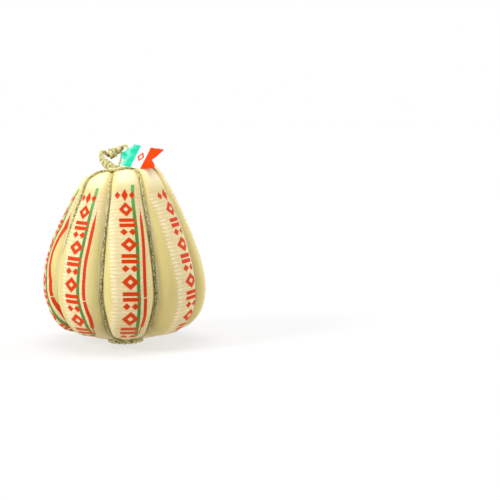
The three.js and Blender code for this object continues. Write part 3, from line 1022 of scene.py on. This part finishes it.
LABEL_MARK_RED = srgb(238, 92, 58)


def label_point(u, v):
    """A point of the label's sheet, which bows a little and whose lower tail curls up towards the viewer."""
    bow = -math.sin(math.pi * u / LABEL_WIDTH)
    bow += 0.8 * rise(20, LABEL_WIDTH, u) * math.sin(7 * v / LABEL_HEIGHT)
    curl = rise(38, LABEL_WIDTH + 6, u) * (1 - rise(0, NOTCH_HEIGHT, v))
    place = LABEL_CORNER + LABEL_ACROSS * u + LABEL_UP * (v + 4 * curl)
    return place + LABEL_FACING * (bow + 2 * curl + LABEL_THICKNESS / 2)


def label_sheet():
    """The flat part's points, row by row, and the place on the label of each."""
    points, places = [], []
    for r in range(LABEL_ROWS + 1):
        v = LABEL_HEIGHT * r / LABEL_ROWS
        for c in range(LABEL_COLUMNS + 1):
            u = between(LABEL_ENDS, v) * c / LABEL_COLUMNS
            points.append(label_point(u, v))
            places.append((u, v))
    return points, places


def label_fold():
    """The same for the fold: a strip that leaves the left edge and goes round the single cord."""
    leg_low, leg_high = LEG[2], LEG[3]
    axis = (leg_high - leg_low).normalized()
    towards = (LABEL_FACING - axis * LABEL_FACING.dot(axis)).normalized()
    left = axis.cross(towards)
    points, places = [], []
    for r in range(FOLD_ROWS + 1):
        for c in range(FOLD_COLUMNS + 1):
            turn = c / FOLD_COLUMNS
            # The strip narrows towards the cord, so that it looks like a small round bulge
            height = mix(0.5, r / FOLD_ROWS, mix(1, 0.7, rise(0.12, 0.45, turn)))
            v = mix(FOLD_LOW, FOLD_HIGH, height)
            angle = math.radians(mix(0, FOLD_TURN, max(0, turn - 0.15) / 0.85))
            on_leg = leg_low.lerp(leg_high, mix(0.16, 0.8, height))
            round_leg = on_leg - left * FOLD_ASIDE
            round_leg += (towards * math.cos(angle) - left * math.sin(angle)) * FOLD_RADIUS
            points.append(label_point(0, v).lerp(round_leg, rise(0, 0.3, turn)))
            places.append((0.0, v))
    return points, places


def grid_faces(start, columns, rows):
    """The faces of a grid of points that starts at one point and goes on row by row."""
    faces = []
    for r in range(rows):
        for c in range(columns):
            low = start + r * (columns + 1) + c
            high = low + columns + 1
            faces.append((low, low + 1, high + 1, high))
    return faces


def build_label(material):
    sheet, sheet_places = label_sheet()
    fold, fold_places = label_fold()
    faces = grid_faces(0, LABEL_COLUMNS, LABEL_ROWS)
    # The fold runs to the left, so its faces go round the other way
    faces += [(a, d, c, b) for a, b, c, d in grid_faces(len(sheet), FOLD_COLUMNS, FOLD_ROWS)]
    made = make_object("label_folded", sheet + fold, faces, material)
    places = sheet_places + fold_places
    point_attribute(made, "label_u", [u for u, _ in places])
    point_attribute(made, "label_v", [v for _, v in places])
    thick = made.modifiers.new("thickness", "SOLIDIFY")
    thick.thickness = SHEET_THICKNESS * MM
    thick.offset = 0
    dress(made, "label")


def label_material():
    n = Nodes("label_film")
    u = n.attribute("label_u")
    v = n.attribute("label_v")
    cloudy = n.noise(n.place(), 90)
    across = n.math("MULTIPLY_ADD", v, BAND_LEAN, u)
    green = n.mixed(n.ramp(cloudy, 0.35, 0.7), LABEL_GREEN, LABEL_GREEN_PALE)
    # Painted highlights: pale patches on the green near the left edge
    painted_highlights = n.times(n.ramp(u, 9, 1), n.ramp(cloudy, 0.3, 0.6), 0.8)
    green = n.mixed(painted_highlights, green, LABEL_HIGHLIGHT)
    colour = n.mixed(n.ramp(across, GREEN_BAND_END - 0.2, GREEN_BAND_END + 0.2), green, LABEL_WHITE)
    colour = n.mixed(n.ramp(across, WHITE_BAND_END - 0.2, WHITE_BAND_END + 0.2), colour, LABEL_RED)
    aside = n.math("SUBTRACT", across, (GREEN_BAND_END + WHITE_BAND_END) / 2)
    mark = lozenge(n, aside, n.math("SUBTRACT", v, LABEL_MARK_HEIGHT), *LABEL_MARK_HALF)
    colour = n.mixed(n.band(mark, 0.7, 0.3, 0.04), colour, LABEL_MARK_RED)
    n.bump(cloudy, 0.3, 0.4)
    return n.finish(colour, 0.3, Specular_IOR_Level=0.15)


# The pieces
build_cheese(sleeve_material())
cord_rope = rope_material("cord_rope", *CORD_ROPE)
loop_rope = rope_material("loop_rope", *LOOP_ROPE)
ring_rope = rope_material("ring_rope", *RING_ROPE)
build_cords(cord_rope)
build_base_ring(ring_rope)
build_top_knot(loop_rope)
build_plait(loop_rope)
build_coil(loop_rope)
build_leg(loop_rope)
build_label(label_material())


# The stage: a white floor and room, a lamp above, a soft key light from the left and a fill from the right
FLOOR_WIDE = 9000  # from the middle to each edge
FLOOR_DROP = 0.3  # so that the ring doesn't lie in it
FLOOR_DEEP = srgb(136, 136, 136)
FLOOR_PALE = srgb(139, 139, 139)
FLOOR_GLOW = 0.64
HORIZON_LIGHT = 1.0  # low on the walls
ROOM_LIGHT = 0.12  # higher up
LAMP_LIGHT = 4.4  # straight above
SUNS = (  # name, strength, width in degrees, and where it shines from
    ("soft_key", 2.1, 24, (-0.79, -0.32, 0.53)),
    ("soft_fill", 1.3, 50, (0.88, 0.18, 0.42)),
)


def build_stage():
    n = Nodes("floor")
    speckle = n.noise(n.place(), 3)
    colour = n.mixed(speckle, FLOOR_DEEP, FLOOR_PALE)
    material = n.finish(colour, 0.6, Emission_Color=(1, 1, 1, 1), Emission_Strength=FLOOR_GLOW)
    far = FLOOR_WIDE
    corners = [(-far, -far, 0), (far, -far, 0), (far, far, 0), (-far, far, 0)]
    floor = make_object("floor", corners, [(0, 1, 2, 3)], material)
    floor.location.z = -FLOOR_DROP * MM


def build_room():
    world = bpy.data.worlds.new("white_room")
    world.use_nodes = True
    nodes = world.node_tree.nodes
    links = world.node_tree.links
    direction = nodes.new("ShaderNodeTexCoord")
    split = nodes.new("ShaderNodeSeparateXYZ")
    links.new(direction.outputs["Generated"], split.inputs[0])
    total = nodes.new("ShaderNodeMath")
    # For each of two changes of the light: the heights it is between, and the light below and above
    steps = ((0.12, 0.2, HORIZON_LIGHT, ROOM_LIGHT), (0.85, 0.95, 0, LAMP_LIGHT - ROOM_LIGHT))
    for socket, (low, high, below, above) in zip(total.inputs, steps):
        height = nodes.new("ShaderNodeMapRange")
        height.inputs["From Min"].default_value = low
        height.inputs["From Max"].default_value = high
        height.inputs["To Min"].default_value = below
        height.inputs["To Max"].default_value = above
        links.new(split.outputs["Z"], height.inputs["Value"])
        links.new(height.outputs["Result"], socket)
    background = nodes["Background"]
    background.inputs["Color"].default_value = (1, 1, 1, 1)
    links.new(total.outputs[0], background.inputs["Strength"])
    bpy.context.scene.world = world


def add_suns():
    for name, strength, width, direction in SUNS:
        data = bpy.data.lights.new(name, "SUN")
        data.energy = strength
        data.angle = math.radians(width)
        sun = bpy.data.objects.new(name, data)
        sun.rotation_euler = (-Vector(direction)).to_track_quat("-Z", "Y").to_euler()
        bpy.context.scene.collection.objects.link(sun)


build_stage()
build_room()
add_suns()
bpy.context.scene.view_settings.view_transform = "Standard"
